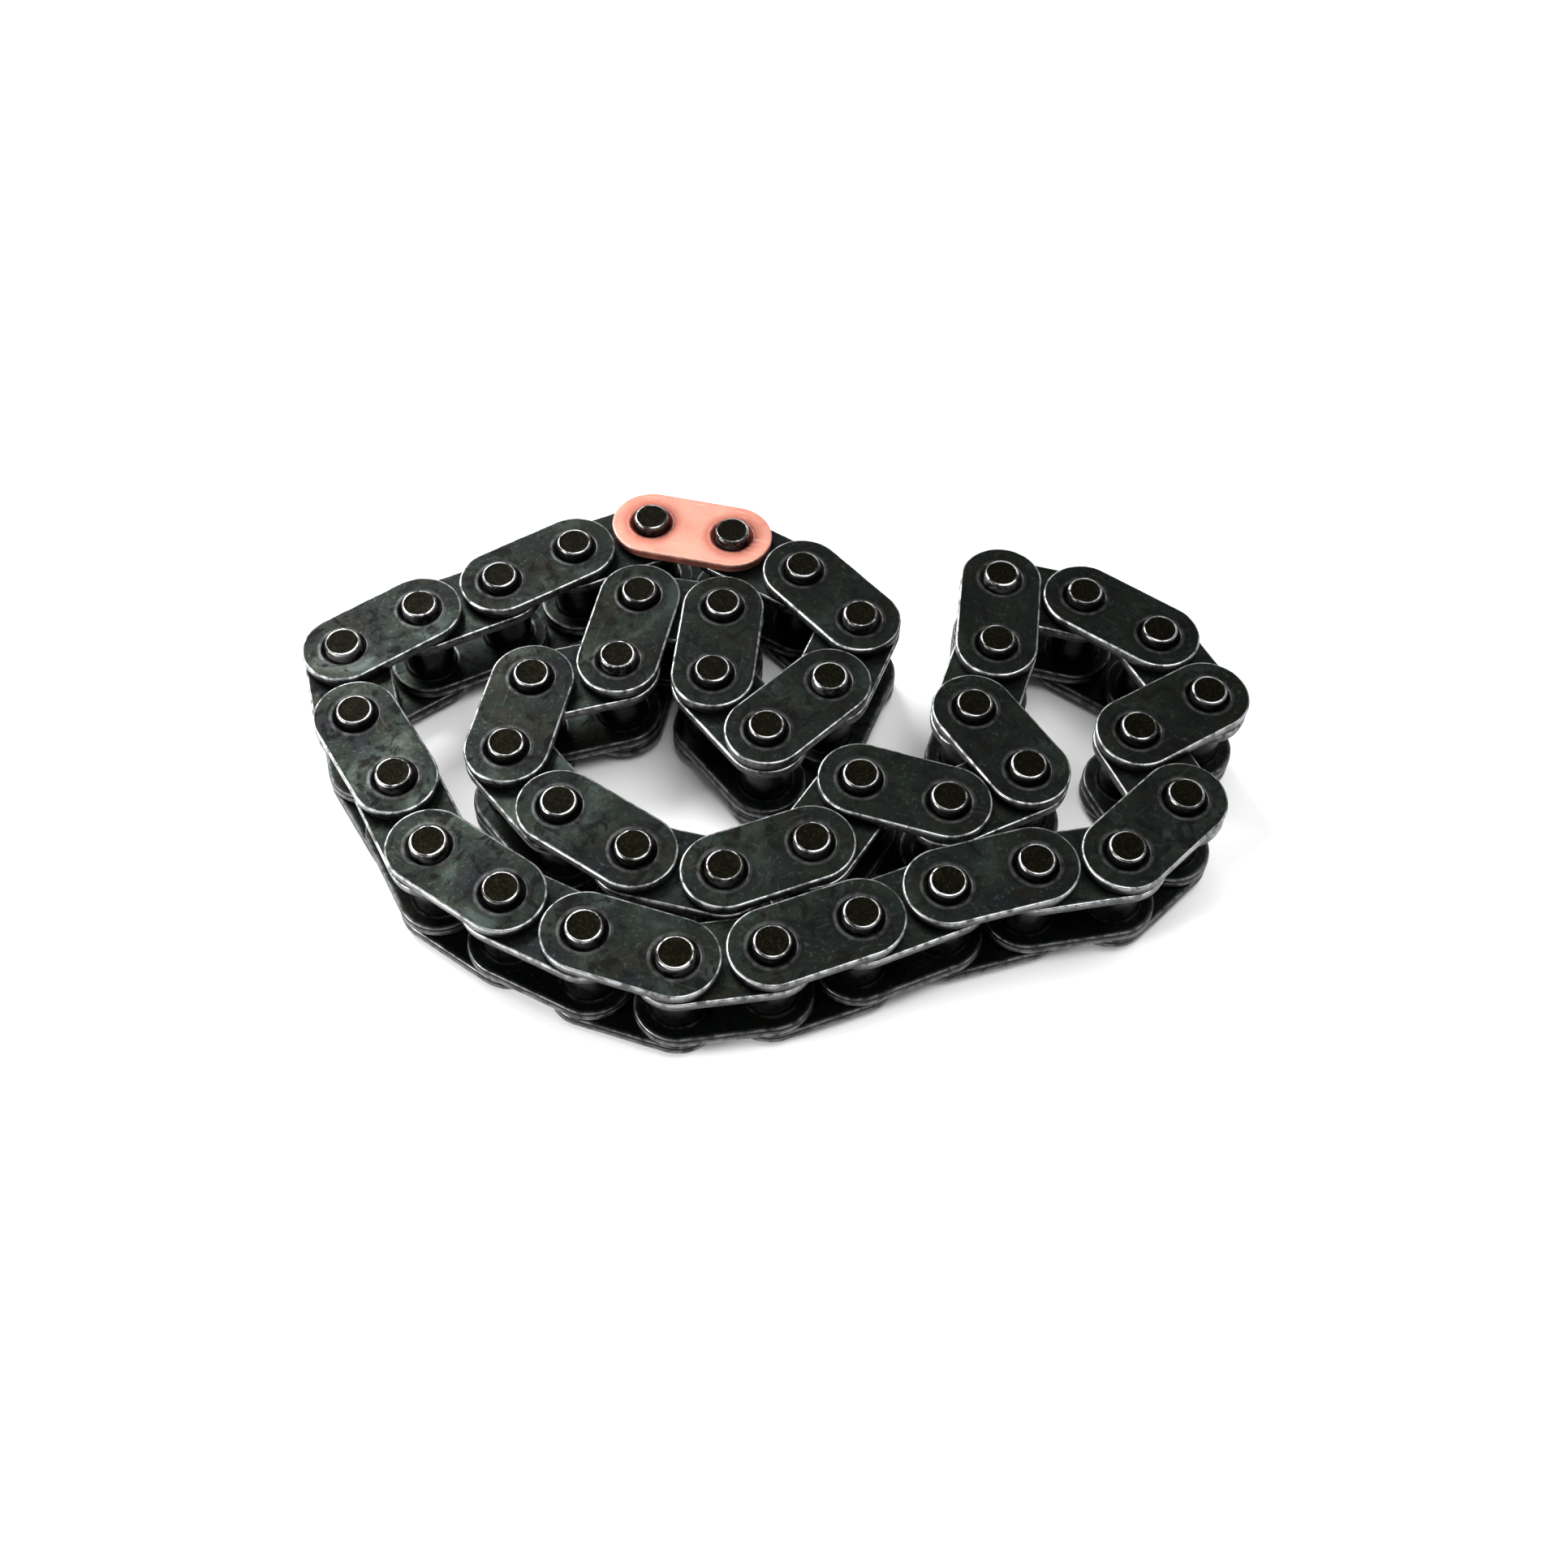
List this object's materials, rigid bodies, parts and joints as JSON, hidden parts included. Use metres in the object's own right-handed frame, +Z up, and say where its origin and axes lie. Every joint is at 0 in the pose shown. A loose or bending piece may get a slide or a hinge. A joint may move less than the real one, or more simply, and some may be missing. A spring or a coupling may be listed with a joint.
{
  "type": "motorcycle drive chain",
  "caption": "Closed loop of single-strand bush chain with straight-sided oval plates, lying on its side in a loose heap, one coppered marker plate.",
  "frame": {"origin": "on the plane the lower pin ends rest on, under the middle of the chain's box", "axes": "+X to the right along the heap's long side, +Y away from a viewer at the front, +Z up along the pins"},
  "size_m": [0.0844, 0.0542, 0.0114],
  "materials": {
    "plate_steel": "black oxide on hardened steel, oiled, with rubbed bright edges",
    "coppered_plate": "thin matt copper plating on steel, worn at the edges",
    "pin_steel": "ground and hardened pin, dark flat end with a bright chamfer",
    "bush_steel": "smooth rolled bush, dark and oiled"
  },
  "bodies": {
    "outer_01": {"outer_link_01_lower_plate": "plate_steel", "outer_link_01_upper_plate": "coppered_plate", "outer_link_01_near_pin": "pin_steel", "outer_link_01_far_pin": "pin_steel"},
    "inner_01": {"inner_link_01_lower_plate": "plate_steel", "inner_link_01_upper_plate": "plate_steel", "inner_link_01_near_bush": "bush_steel", "inner_link_01_far_bush": "bush_steel"},
    "outer_02": {"outer_link_02_lower_plate": "plate_steel", "outer_link_02_upper_plate": "plate_steel", "outer_link_02_near_pin": "pin_steel", "outer_link_02_far_pin": "pin_steel"},
    "inner_02": {"inner_link_02_lower_plate": "plate_steel", "inner_link_02_upper_plate": "plate_steel", "inner_link_02_near_bush": "bush_steel", "inner_link_02_far_bush": "bush_steel"},
    "outer_03": {"outer_link_03": "plate_steel"},
    "inner_03": {"inner_link_03": "plate_steel"},
    "outer_04": {"outer_link_04": "plate_steel"},
    "inner_04": {"inner_link_04": "plate_steel"},
    "outer_05": {"outer_link_05": "plate_steel"},
    "inner_05": {"inner_link_05": "plate_steel"},
    "outer_06": {"outer_link_06": "plate_steel"},
    "inner_06": {"inner_link_06": "plate_steel"},
    "outer_07": {"outer_link_07": "plate_steel"},
    "inner_07": {"inner_link_07": "plate_steel"},
    "outer_08": {"outer_link_08": "plate_steel"},
    "inner_08": {"inner_link_08": "plate_steel"},
    "outer_09": {"outer_link_09": "plate_steel"},
    "inner_09": {"inner_link_09": "plate_steel"},
    "outer_10": {"outer_link_10": "plate_steel"},
    "inner_10": {"inner_link_10": "plate_steel"},
    "outer_11": {"outer_link_11": "plate_steel"},
    "inner_11": {"inner_link_11": "plate_steel"},
    "outer_12": {"outer_link_12": "plate_steel"},
    "inner_12": {"inner_link_12": "plate_steel"},
    "outer_13": {"outer_link_13": "plate_steel"},
    "inner_13": {"inner_link_13": "plate_steel"},
    "outer_14": {"outer_link_14": "plate_steel"},
    "inner_14": {"inner_link_14": "plate_steel"},
    "outer_15": {"outer_link_15": "plate_steel"},
    "inner_15": {"inner_link_15": "plate_steel"},
    "outer_16": {"outer_link_16": "plate_steel"},
    "inner_16": {"inner_link_16": "plate_steel"},
    "outer_17": {"outer_link_17": "plate_steel"},
    "inner_17": {"inner_link_17": "plate_steel"},
    "outer_18": {"outer_link_18": "plate_steel"},
    "inner_18": {"inner_link_18": "plate_steel"},
    "outer_19": {"outer_link_19": "plate_steel"},
    "inner_19": {"inner_link_19": "plate_steel"},
    "outer_20": {"outer_link_20": "plate_steel"},
    "inner_20": {"inner_link_20": "plate_steel"},
    "outer_21": {"outer_link_21_lower_plate": "plate_steel", "outer_link_21_upper_plate": "plate_steel", "outer_link_21_near_pin": "pin_steel", "outer_link_21_far_pin": "pin_steel"},
    "inner_21": {"inner_link_21_lower_plate": "plate_steel", "inner_link_21_upper_plate": "plate_steel", "inner_link_21_near_bush": "bush_steel", "inner_link_21_far_bush": "bush_steel"}
  },
  "joints": [
    {"name": "pivot_01", "type": "hinge", "parent": "inner_01", "child": "outer_01", "pos_m": [-0.01218, 0.02333, 0], "axis": [0, 0, 1], "range_deg": [-51.4, 0]},
    {"name": "pivot_02", "type": "hinge", "parent": "outer_02", "child": "inner_01", "pos_m": [-0.0191, 0.0198, 0], "axis": [0, 0, 1], "range_deg": [0, 52.2]},
    {"name": "pivot_03", "type": "hinge", "parent": "inner_02", "child": "outer_02", "pos_m": [-0.02555, 0.01545, 0], "axis": [0, 0, 1], "range_deg": [-8.59, 0]},
    {"name": "pivot_04", "type": "hinge", "parent": "outer_03", "child": "inner_02", "pos_m": [-0.03235, 0.01168, 0], "axis": [0, 0, 1], "range_deg": [-8.59, 0]},
    {"name": "pivot_05", "type": "hinge", "parent": "inner_03", "child": "outer_03", "pos_m": [-0.03847, 0.0069, 0], "axis": [0, 0, 1], "range_deg": [0, 24.55]},
    {"name": "pivot_06", "type": "hinge", "parent": "outer_04", "child": "inner_03", "pos_m": [-0.0362, -0.00054, 0], "axis": [0, 0, 1], "range_deg": [0, 8.6]},
    {"name": "pivot_07", "type": "hinge", "parent": "inner_04", "child": "outer_04", "pos_m": [-0.03185, -0.00698, 0], "axis": [0, 0, 1], "range_deg": [-20.63, 0]},
    {"name": "pivot_08", "type": "hinge", "parent": "outer_05", "child": "inner_04", "pos_m": [-0.02797, -0.01372, 0], "axis": [0, 0, 1], "range_deg": [0, 8.59]},
    {"name": "pivot_09", "type": "hinge", "parent": "inner_05", "child": "outer_05", "pos_m": [-0.02145, -0.01795, 0], "axis": [0, 0, 1], "range_deg": [0, 8.59]},
    {"name": "pivot_10", "type": "hinge", "parent": "outer_06", "child": "inner_05", "pos_m": [-0.0144, -0.02124, 0], "axis": [0, 0, 1], "range_deg": [0, 8.59]},
    {"name": "pivot_11", "type": "hinge", "parent": "inner_06", "child": "outer_06", "pos_m": [-0.00693, -0.02338, 0], "axis": [0, 0, 1], "range_deg": [0, 8.59]},
    {"name": "pivot_12", "type": "hinge", "parent": "outer_07", "child": "inner_06", "pos_m": [0.00073, -0.02203, 0], "axis": [0, 0, 1], "range_deg": [0, 8.59]},
    {"name": "pivot_13", "type": "hinge", "parent": "inner_07", "child": "outer_07", "pos_m": [0.00788, -0.01899, 0], "axis": [0, 0, 1], "range_deg": [-25.29, 0]},
    {"name": "pivot_14", "type": "hinge", "parent": "outer_08", "child": "inner_07", "pos_m": [0.01493, -0.01571, 0], "axis": [0, 0, 1], "range_deg": [-22.1, 0]},
    {"name": "pivot_15", "type": "hinge", "parent": "inner_08", "child": "outer_08", "pos_m": [0.02232, -0.0133, 0], "axis": [0, 0, 1], "range_deg": [-8.61, 0]},
    {"name": "pivot_16", "type": "hinge", "parent": "outer_09", "child": "inner_08", "pos_m": [0.02993, -0.01169, 0], "axis": [0, 0, 1], "range_deg": [0, 11.64]},
    {"name": "pivot_17", "type": "hinge", "parent": "inner_09", "child": "outer_09", "pos_m": [0.03533, -0.00609, 0], "axis": [0, 0, 1], "range_deg": [0, 18.05]},
    {"name": "pivot_18", "type": "hinge", "parent": "outer_10", "child": "inner_09", "pos_m": [0.03192, 0.00089, 0], "axis": [0, 0, 1], "range_deg": [-8.59, 0]},
    {"name": "pivot_19", "type": "hinge", "parent": "inner_10", "child": "outer_10", "pos_m": [0.03844, 0.00513, 0], "axis": [0, 0, 1], "range_deg": [0, 18.43]},
    {"name": "pivot_20", "type": "hinge", "parent": "outer_11", "child": "inner_10", "pos_m": [0.03467, 0.01193, 0], "axis": [0, 0, 1], "range_deg": [0, 8.73]},
    {"name": "pivot_21", "type": "hinge", "parent": "inner_11", "child": "outer_11", "pos_m": [0.02815, 0.01616, 0], "axis": [0, 0, 1], "range_deg": [-14.77, 0]},
    {"name": "pivot_22", "type": "hinge", "parent": "inner_11", "child": "outer_12", "pos_m": [0.02057, 0.01791, 0], "axis": [0, 0, 1], "range_deg": [-45.47, 0]},
    {"name": "pivot_23", "type": "hinge", "parent": "outer_12", "child": "inner_12", "pos_m": [0.0199, 0.01016, 0], "axis": [0, 0, 1], "range_deg": [0, 8.58]},
    {"name": "pivot_24", "type": "hinge", "parent": "inner_12", "child": "outer_13", "pos_m": [0.01762, 0.00273, 0], "axis": [0, 0, 1], "range_deg": [0, 8.58]},
    {"name": "pivot_25", "type": "hinge", "parent": "outer_13", "child": "inner_13", "pos_m": [0.02208, -0.00364, 0], "axis": [0, 0, 1], "range_deg": [0, 28.49]},
    {"name": "pivot_26", "type": "hinge", "parent": "inner_13", "child": "outer_14", "pos_m": [0.01522, -0.00729, 0], "axis": [0, 0, 1], "range_deg": [0, 8.58]},
    {"name": "pivot_27", "type": "hinge", "parent": "outer_14", "child": "inner_14", "pos_m": [0.00771, -0.00528, 0], "axis": [0, 0, 1], "range_deg": [0, 8.58]},
    {"name": "pivot_28", "type": "hinge", "parent": "inner_14", "child": "outer_15", "pos_m": [0.00371, -0.01194, 0], "axis": [0, 0, 1], "range_deg": [0, 8.58]},
    {"name": "pivot_29", "type": "hinge", "parent": "outer_15", "child": "inner_15", "pos_m": [-0.00345, -0.01498, 0], "axis": [0, 0, 1], "range_deg": [-27.16, 0]},
    {"name": "pivot_30", "type": "hinge", "parent": "inner_15", "child": "outer_16", "pos_m": [-0.01105, -0.01336, 0], "axis": [0, 0, 1], "range_deg": [-8.59, 0]},
    {"name": "pivot_31", "type": "hinge", "parent": "outer_16", "child": "inner_16", "pos_m": [-0.01765, -0.00924, 0], "axis": [0, 0, 1], "range_deg": [-23.18, 0]},
    {"name": "pivot_32", "type": "hinge", "parent": "inner_16", "child": "outer_17", "pos_m": [-0.02275, -0.00337, 0], "axis": [0, 0, 1], "range_deg": [-17.22, 0]},
    {"name": "pivot_33", "type": "hinge", "parent": "outer_17", "child": "inner_17", "pos_m": [-0.0214, 0.00428, 0], "axis": [0, 0, 1], "range_deg": [0, 53.22]},
    {"name": "pivot_34", "type": "hinge", "parent": "inner_17", "child": "outer_18", "pos_m": [-0.014, 0.00668, 0], "axis": [0, 0, 1], "range_deg": [0, 31.98]},
    {"name": "pivot_35", "type": "hinge", "parent": "outer_18", "child": "inner_18", "pos_m": [-0.01265, 0.01434, 0], "axis": [0, 0, 1], "range_deg": [0, 11.76]},
    {"name": "pivot_36", "type": "hinge", "parent": "inner_18", "child": "outer_19", "pos_m": [-0.00495, 0.01326, 0], "axis": [0, 0, 1], "range_deg": [0, 8.59]},
    {"name": "pivot_37", "type": "hinge", "parent": "outer_19", "child": "inner_19", "pos_m": [-0.0055, 0.0055, 0], "axis": [0, 0, 1], "range_deg": [0, 12.88]},
    {"name": "pivot_38", "type": "hinge", "parent": "inner_19", "child": "outer_20", "pos_m": [-0.0005, -0.00045, 0], "axis": [0, 0, 1], "range_deg": [-22.15, 0]},
    {"name": "pivot_39", "type": "hinge", "parent": "outer_20", "child": "inner_20", "pos_m": [0.0049, 0.00514, 0], "axis": [0, 0, 1], "range_deg": [0, 22.13]},
    {"name": "pivot_40", "type": "hinge", "parent": "inner_20", "child": "outer_21", "pos_m": [0.00756, 0.01244, 0], "axis": [0, 0, 1], "range_deg": [-8.65, 0]},
    {"name": "pivot_41", "type": "hinge", "parent": "outer_21", "child": "inner_21", "pos_m": [0.00221, 0.01808, 0], "axis": [0, 0, 1], "range_deg": [-18.16, 0]}
  ],
  "couplings": [
    {"joint": "pivot_02", "follows": "pivot_01", "ratio": -1.0154},
    {"joint": "pivot_03", "follows": "pivot_01", "ratio": 0.167},
    {"joint": "pivot_04", "follows": "pivot_01", "ratio": 0.167},
    {"joint": "pivot_05", "follows": "pivot_01", "ratio": -0.4775},
    {"joint": "pivot_06", "follows": "pivot_01", "ratio": -0.1673},
    {"joint": "pivot_07", "follows": "pivot_01", "ratio": 0.4012},
    {"joint": "pivot_08", "follows": "pivot_01", "ratio": -0.167},
    {"joint": "pivot_09", "follows": "pivot_01", "ratio": -0.167},
    {"joint": "pivot_10", "follows": "pivot_01", "ratio": -0.1671},
    {"joint": "pivot_11", "follows": "pivot_01", "ratio": -0.167},
    {"joint": "pivot_12", "follows": "pivot_01", "ratio": -0.167},
    {"joint": "pivot_13", "follows": "pivot_01", "ratio": 0.492},
    {"joint": "pivot_14", "follows": "pivot_01", "ratio": 0.4298},
    {"joint": "pivot_15", "follows": "pivot_01", "ratio": 0.1674},
    {"joint": "pivot_16", "follows": "pivot_01", "ratio": -0.2263},
    {"joint": "pivot_17", "follows": "pivot_01", "ratio": -0.3511},
    {"joint": "pivot_18", "follows": "pivot_01", "ratio": 0.167},
    {"joint": "pivot_19", "follows": "pivot_01", "ratio": -0.3584},
    {"joint": "pivot_20", "follows": "pivot_01", "ratio": -0.1698},
    {"joint": "pivot_21", "follows": "pivot_01", "ratio": 0.2873},
    {"joint": "pivot_22", "follows": "pivot_01", "ratio": 0.8845},
    {"joint": "pivot_23", "follows": "pivot_01", "ratio": -0.1669},
    {"joint": "pivot_24", "follows": "pivot_01", "ratio": -0.1669},
    {"joint": "pivot_25", "follows": "pivot_01", "ratio": -0.5541},
    {"joint": "pivot_26", "follows": "pivot_01", "ratio": -0.1669},
    {"joint": "pivot_27", "follows": "pivot_01", "ratio": -0.1669},
    {"joint": "pivot_28", "follows": "pivot_01", "ratio": -0.1669},
    {"joint": "pivot_29", "follows": "pivot_01", "ratio": 0.5284},
    {"joint": "pivot_30", "follows": "pivot_01", "ratio": 0.167},
    {"joint": "pivot_31", "follows": "pivot_01", "ratio": 0.4509},
    {"joint": "pivot_32", "follows": "pivot_01", "ratio": 0.335},
    {"joint": "pivot_33", "follows": "pivot_01", "ratio": -1.0353},
    {"joint": "pivot_34", "follows": "pivot_01", "ratio": -0.622},
    {"joint": "pivot_35", "follows": "pivot_01", "ratio": -0.2287},
    {"joint": "pivot_36", "follows": "pivot_01", "ratio": -0.167},
    {"joint": "pivot_37", "follows": "pivot_01", "ratio": -0.2504},
    {"joint": "pivot_38", "follows": "pivot_01", "ratio": 0.4308},
    {"joint": "pivot_39", "follows": "pivot_01", "ratio": -0.4305},
    {"joint": "pivot_40", "follows": "pivot_01", "ratio": 0.1682},
    {"joint": "pivot_41", "follows": "pivot_01", "ratio": 0.3533}
  ]
}
